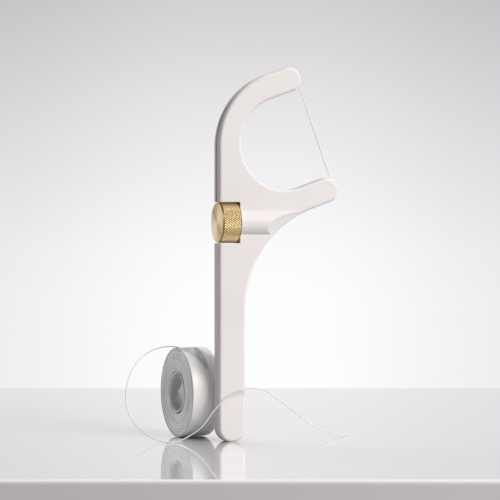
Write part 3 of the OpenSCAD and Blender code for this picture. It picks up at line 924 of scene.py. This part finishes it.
sideValues = {
    **dict.fromkeys(treadValues, 0.0),  # neither crossings nor a seam
    "Turns": 7.2, "Steps": 1300, "Around": 8, "Radius From": 7.5, "Radius To": 14.16,
    "Side": -4.80, "Width": 0.30, "Thickness": 0.82, "Waver": 0.5, "Waver Rate": 5.3, "Seed": 11.0,
    # the shift on the next line lowers the sides' tone a little, as painted shade
    "Painted Light Shift": -0.02, "Seam Width": 1.0,
}

farSideValues = {**sideValues, "Side": -sideValues["Side"], "Seed": 23.0}

weaveValues = {
    "turnPoint": 0.975,  # under 1, so that the floss turns round at the rims on a short curve
    "crownPower": 3.0,
    "seamFade": (0.05, 0.2), "seamLeast": 0.1,  # in turns from the top
    "shadeInner": (-0.7, 0.9), "shadeOuter": (-0.3, 0.5),
    "taperTurns": 24.0,  # one over the turns in which each end grows to its full width
    "toneRate": 0.9, "toneSeed": 37.0,
    "weld": 0.0005,
}


def windingMaterial():
    v = woundValues
    material, tree, shader = newMaterial(
        "woundFloss", Roughness=0.4, Sheen_Weight=0.25, Sheen_Roughness=0.35, Specular_IOR_Level=0.8)
    # random tone from turn to turn, with painted sheen and painted shade from the winding
    tone = put(tree, "ShaderNodeAttribute", {"attribute_name": "turnToneAndShade"}).outputs["Fac"]
    clouds = noise(tree, objectPlace(tree), v["cloudScale"], 3.0)
    clouds = product(tree, clouds, 1 - v["turnShare"])
    mixed = calc(tree, "MULTIPLY_ADD", tone, v["turnShare"], clouds)
    tree.links.new(rampOf(tree, mixed, v["tones"]), shader.inputs["Base Color"])
    strandUv = put(tree, "ShaderNodeUVMap", {"uv_map": "strandUv"}).outputs[0]
    stretched = put(tree, "ShaderNodeMapping", inputs={"Vector": strandUv, "Scale": v["fibres"]})
    addBump(tree, shader, noise(tree, stretched.outputs[0], 1.0, 3.0), v["fibreDepth"], 0.4)
    return material


def windingTree(material):
    # one flat strand from along 0 to 1: a sheet whose width is rolled round the strand's path
    w = weaveValues
    counts = ("Steps", "Around")
    sizes = [name for name in treadValues if name not in counts]
    tree, given = startTree("woundStrand", counts, sizes)
    sheet = put(tree, "GeometryNodeMeshGrid", inputs={
        "Size X": 1.0, "Size Y": 1.0, "Vertices X": given["Steps"],
        "Vertices Y": total(tree, given["Around"], 1.0),
    })
    place = put(tree, "GeometryNodeInputPosition").outputs[0]
    along = total(tree, axisPart(tree, place, "X"), 0.5)
    around = total(tree, axisPart(tree, place, "Y"), 0.5)
    turn = product(tree, along, given["Turns"])

    # to and fro across the width, and outwards from turn to turn
    crossing = product(tree, turn, given["Crossings"], 2 * math.pi)
    wave = product(tree, calc(tree, "SINE", crossing), w["turnPoint"])
    zigzag = product(tree, calc(tree, "ARCSINE", wave), 2 / math.pi)
    axial = total(tree, given["Side"], product(tree, zigzag, given["Traverse"]))
    grow = calc(tree, "SUBTRACT", given["Radius To"], given["Radius From"])
    radial = total(tree, given["Radius From"], product(tree, grow, along))
    crown = calc(tree, "POWER", calc(tree, "ABSOLUTE", zigzag), w["crownPower"])
    radial = calc(tree, "SUBTRACT", radial, product(tree, crown, given["Crown"]))
    run = total(tree, product(tree, turn, given["Waver Rate"]), given["Seed"])
    waver = calc(tree, "SUBTRACT", lineNoise(tree, run, 1.0), 0.5)
    radial = total(tree, radial, product(tree, waver, given["Waver"]))

    # the seam, a dip along the line where the strands change over, fading away from the top, and painted
    # darker along it as painted shade
    quarter = calc(tree, "SUBTRACT", calc(tree, "FLOORED_MODULO", total(tree, turn, 0.5), 1.0), 0.5)
    line = calc(tree, "MULTIPLY_ADD", quarter, given["Seam Rise"], given["Seam Middle"])
    off = calc(tree, "DIVIDE", calc(tree, "SUBTRACT", axial, line), given["Seam Width"])
    seam = calc(tree, "EXPONENT", product(tree, off, off, -1.0))
    fade = spread(tree, calc(tree, "ABSOLUTE", quarter), *w["seamFade"], 1.0, w["seamLeast"], smooth=True)
    seam = product(tree, seam, given["Seam Depth"], fade)
    radial = calc(tree, "SUBTRACT", radial, seam)

    # the band of strands that lies the other way, in front of the seam, is painted darker as painted shade,
    # for the sheen that it lacks
    forward = calc(tree, "MAXIMUM", product(tree, quarter, -1.0), 0.0)
    edge = calc(tree, "MULTIPLY_ADD", calc(tree, "SQRT", forward), given["Shade Rise"], given["Shade From"])
    inner = spread(tree, calc(tree, "SUBTRACT", axial, edge), *w["shadeInner"], smooth=True)
    outer = spread(tree, calc(tree, "SUBTRACT", line, axial), *w["shadeOuter"], smooth=True)
    shade = product(tree, inner, outer, given["Shade"])

    # the strand's own flat round section, closed to a point at both ends
    nearEnd = calc(tree, "MINIMUM", along, calc(tree, "SUBTRACT", 1.0, along))
    taper = product(tree, nearEnd, product(tree, given["Turns"], w["taperTurns"]))
    taper = calc(tree, "MINIMUM", taper, 1.0)
    phase = product(tree, around, 2 * math.pi)
    halfWide = calc(tree, "DIVIDE", given["Width"], 2.0)
    halfThick = calc(tree, "DIVIDE", given["Thickness"], 2.0)
    axial = total(tree, axial, product(tree, calc(tree, "COSINE", phase), taper, halfWide))
    radial = total(tree, radial, product(tree, calc(tree, "SINE", phase), taper, halfThick))
    angle = product(tree, turn, 2 * math.pi)
    back = product(tree, calc(tree, "SINE", angle), radial)
    up = product(tree, calc(tree, "COSINE", angle), radial)

    # tone from turn to turn for the material, with the shift as painted sheen on the tread and painted shade
    # on the sides, the seam and band as painted shade, and the strand's length and width as its UV map
    toneRun = total(tree, product(tree, turn, w["toneRate"]), w["toneSeed"])
    tone = total(tree, lineNoise(tree, toneRun, 2.0), given["Painted Light Shift"])
    tone = calc(tree, "SUBTRACT", tone, total(tree, seam, shade))
    toned = put(tree, "GeometryNodeStoreNamedAttribute", {"data_type": "FLOAT", "domain": "POINT"}, {
        "Geometry": sheet.outputs["Mesh"], "Name": "turnToneAndShade", "Value": tone})
    mapped = put(tree, "GeometryNodeStoreNamedAttribute", {"data_type": "FLOAT2", "domain": "CORNER"}, {
        "Geometry": toned.outputs[0], "Name": "strandUv", "Value": combine(tree, turn, around)})
    shaped = put(tree, "GeometryNodeSetPosition", inputs={
        "Geometry": mapped.outputs[0], "Position": combine(tree, axial, back, up)})
    closed = put(tree, "GeometryNodeMergeByDistance", inputs={
        "Geometry": shaped.outputs[0], "Distance": w["weld"]})
    smooth = put(tree, "GeometryNodeSetShadeSmooth", inputs={"Geometry": closed.outputs[0]})
    return endTree(tree, smooth, material)


def placeOnCoil(obj):
    # from millimetres on the coil's axes to its place
    obj.data.transform(coilPlace @ Matrix.Scale(mm, 4))
    obj.data.update()
    return outwards(obj)


# the floss under the outer layer: a turned body with slightly uneven sides

bodyValues = {
    "halfWidth": 4.88, "holeRadius": 7.0, "bodyRadius": 14.12, "rimRadius": 14.46, "rimPower": 12,
    "holeEdge": [(0.5, 0.02), (0.12, 0.05), (0.0, 0.25)],  # inwards from the side, outwards from the hole
    "rimEdge": [(0.08, -0.2), (0.3, -0.06)],  # inwards from the side, outwards from the rim
    "sideFrom": 7.6, "sideInset": 0.45, "sidePoints": 16, "ripple": 0.04, "rippleStep": 2.3,
    "treadPoints": 14, "segments": 180,
    "tones": (0.15, 0.3), "rimTone": 0.35, "rimBand": 0.3, "seed": 5,
}


def bodyOutline():
    # points of (along the axis, radius) from the hole's left edge round to its right edge and back
    v = bodyValues
    side, hole, rim = v["halfWidth"], v["holeRadius"], v["rimRadius"]

    def ripples(start, stop):
        radii = np.linspace(start, stop, v["sidePoints"])
        return [(v["ripple"] * math.sin(i * v["rippleStep"]), r) for i, r in enumerate(radii)]

    outline = [(deep - side, hole + out) for deep, out in v["holeEdge"]]
    outline += [(deep - side, r) for deep, r in ripples(v["sideFrom"], rim - v["sideInset"])]
    outline += [(deep - side, rim + out) for deep, out in v["rimEdge"]]
    for s in np.linspace(v["sideInset"] - side, side - v["sideInset"], v["treadPoints"]):
        rise = abs(s / side) ** v["rimPower"]
        outline.append((s, v["bodyRadius"] + (rim - v["bodyRadius"]) * rise))
    outline += [(side - deep, rim + out) for deep, out in reversed(v["rimEdge"])]
    outline += [(side - deep, r) for deep, r in ripples(rim - v["sideInset"], v["sideFrom"])]
    outline += [(side - deep, hole + out) for deep, out in reversed(v["holeEdge"])]
    return outline + outline[:1]


def windingBody(material):
    v = bodyValues
    body = turnedPiece("windingBody", bodyOutline(), 0, v["segments"])
    body.data.transform(Matrix.Scale(1 / mm, 4))  # back to millimetres, as placeOnCoil takes them
    points = np.array([point.co for point in body.data.vertices])
    rng = np.random.default_rng(v["seed"])
    onRim = np.hypot(points[:, 1], points[:, 2]) > v["rimRadius"] - v["rimBand"]
    tones = rng.uniform(*v["tones"], len(points)) + v["rimTone"] * onRim
    tone = body.data.attributes.new("turnToneAndShade", "FLOAT", "POINT")
    tone.data.foreach_set("value", tones.astype(np.float32))
    corners = np.zeros(len(body.data.loops), np.int32)
    body.data.loops.foreach_get("vertex_index", corners)
    places = points[corners]
    turn = np.arctan2(places[:, 1], places[:, 2]) / (2 * math.pi)
    uv = body.data.uv_layers.new(name="strandUv")
    uv.data.foreach_set("uv", np.stack([places[:, 0], turn], 1).astype(np.float32).ravel())
    return setMaterial(body, material)


def makeCoil():
    floss = windingMaterial()
    tree = windingTree(floss)
    body = windingBody(floss)
    tread = grownMesh("windingTread", tree, treadValues, floss)
    nearSide = grownMesh("windingNearSide", tree, sideValues, floss)
    farSide = grownMesh("windingFarSide", tree, farSideValues, floss)
    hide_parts("refill_winding")
    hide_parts("refill_core")
    for piece in (body, tread, nearSide, farSide):
        placeOnCoil(piece)
        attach(piece, "coil")
        backReach.objects.link(piece)
        print("%s: %d faces" % (piece.name, len(piece.data.polygons)))


makeCoil()


# liner: a thin film tube in the open centre, pointed at the top, with its end folded in as a tab

linerValues = {
    "radius": 6.12, "shift": 0.35, "nearEdge": -4.72, "farEdge": 4.7, "segments": 144, "film": 0.16,
    "point": 0.4, "pointAt": 4, "pointWidth": 14,  # the point's height, its place and width in degrees
    "sag": 0.06, "sagWaves": 3,
    "lip": [(0.12, 0.55), (0.0, 0.35), (-0.04, 0.1), (0.06, 0.0)],  # depth and flare
    "lipWaver": 0.15, "lipWaves": 4,
    "tubeFrom": 0.4, "tubeFlare": 0.03, "tubeRows": 9,
    "crease": 0.02, "creaseWaves": 7, "creaseStep": 1.3,
    "colours": [(0.3, (0.90, 0.90, 0.89)), (0.7, (0.97, 0.97, 0.96))],
    # the inside colour is painted shade deeper in the tube, growing between the two depths on the next line
    "insideShadeColour": (0.58, 0.57, 0.575),
    "insideFrom": 0.1, "insideReach": 0.5,
    "creaseScale": 300.0, "creaseDepth": 0.00008,
}

tabValues = {
    "length": 7.0, "high": 4.9, "low": -3.5, "steps": 12,
    "endHigh": 0.25, "endLow": 0.05,
    "fold": 0.5, "foldEase": 0.4, "deep": 0.25, "lean": 0.5, "lap": 0.1,
    # inside: the tab's share of the painted shade
    "inside": 0.3,
}


def linerRadius(angle):
    # angle in degrees from the top towards the front
    v = linerValues
    away = (angle - v["pointAt"] + 180) % 360 - 180
    point = v["point"] * math.exp(-(away / v["pointWidth"]) ** 2)
    return v["radius"] + point - v["sag"] * math.sin(math.radians(v["sagWaves"] * angle))


def linerTube():
    v = linerValues
    segments = v["segments"]
    depths = np.linspace(v["tubeFrom"], v["farEdge"] - v["nearEdge"], v["tubeRows"])
    profile = v["lip"] + [(d, v["tubeFlare"]) for d in depths]
    vertices = []
    for j, (deep, flare) in enumerate(profile):
        for k in range(segments):
            angle = 360 * k / segments
            t = math.radians(angle)
            flared = flare * (1 + v["lipWaver"] * math.sin(v["lipWaves"] * t))
            crease = v["crease"] * math.sin(v["creaseWaves"] * t + v["creaseStep"] * j)
            r = linerRadius(angle) + flared + crease
            vertices.append((v["nearEdge"] + deep, v["shift"] - r * math.sin(t), r * math.cos(t)))
    return vertices, ringFaces(len(profile), segments)


def linerTab(start):
    # a strip from the liner's front wall into the centre, narrowing to its end; start is its first index
    v, t = linerValues, tabValues
    steps = t["steps"]
    vertices, faces = [], []
    for i in range(steps + 1):
        inward = i / steps
        high = t["high"] * (1 - inward) + t["endHigh"] * inward
        low = t["low"] * (1 - inward) + t["endLow"] * inward
        for k in range(steps + 1):
            up = low + (high - low) * k / steps
            wall = v["shift"] - math.sqrt(max(v["radius"] ** 2 - up ** 2, 0)) + t["lap"]
            bulge = t["fold"] * math.sin(math.pi * inward) * (1 - t["foldEase"] * k / steps)
            deep = v["nearEdge"] + t["deep"] + bulge + t["lean"] * inward
            vertices.append((deep, wall + t["length"] * inward, up))
    for i in range(steps):
        for k in range(steps):
            a = start + i * (steps + 1) + k
            faces.append((a, a + 1, a + steps + 2, a + steps + 1))
    return vertices, faces


def linerMaterial():
    v = linerValues
    colour = (*v["colours"][-1][1], 1)
    material, tree, shader = newMaterial("linerFilm", Base_Color=colour, Roughness=0.3, Coat_Weight=0.2)
    creases = noise(tree, objectPlace(tree), v["creaseScale"], 2.0)
    # painted shade deeper inside the tube
    insideShade = put(tree, "ShaderNodeAttribute", {"attribute_name": "insideShade"}).outputs["Fac"]
    tone = mixColours(tree, insideShade, rampOf(tree, creases, v["colours"]), (*v["insideShadeColour"], 1))
    tree.links.new(tone, shader.inputs["Base Color"])
    addBump(tree, shader, creases, v["creaseDepth"], 0.5)
    return material


def makeLiner():
    v = linerValues
    vertices, faces = linerTube()
    tabVertices, tabFaces = linerTab(len(vertices))
    liner = meshObject("coilLiner", vertices + tabVertices, faces + tabFaces)
    insideShade = liner.data.attributes.new("insideShade", "FLOAT", "POINT")  # 1 deep inside, where the film is painted dark as painted shade
    depths = [(p[0] - v["nearEdge"] - v["insideFrom"]) / v["insideReach"] for p in vertices]
    depths = [min(max(d, 0), 1) for d in depths] + [tabValues["inside"]] * len(tabVertices)
    insideShade.data.foreach_set("value", np.array(depths, np.float32))
    thick = liner.modifiers.new("film", "SOLIDIFY")
    thick.thickness = v["film"]
    thick.offset = 0
    mesh = shapedMesh(liner)
    liner.modifiers.clear()
    liner.data = mesh
    placeOnCoil(liner)
    setMaterial(liner, linerMaterial())
    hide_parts("coil_liner")
    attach(liner, "coil")
    print("liner made")


makeLiner()
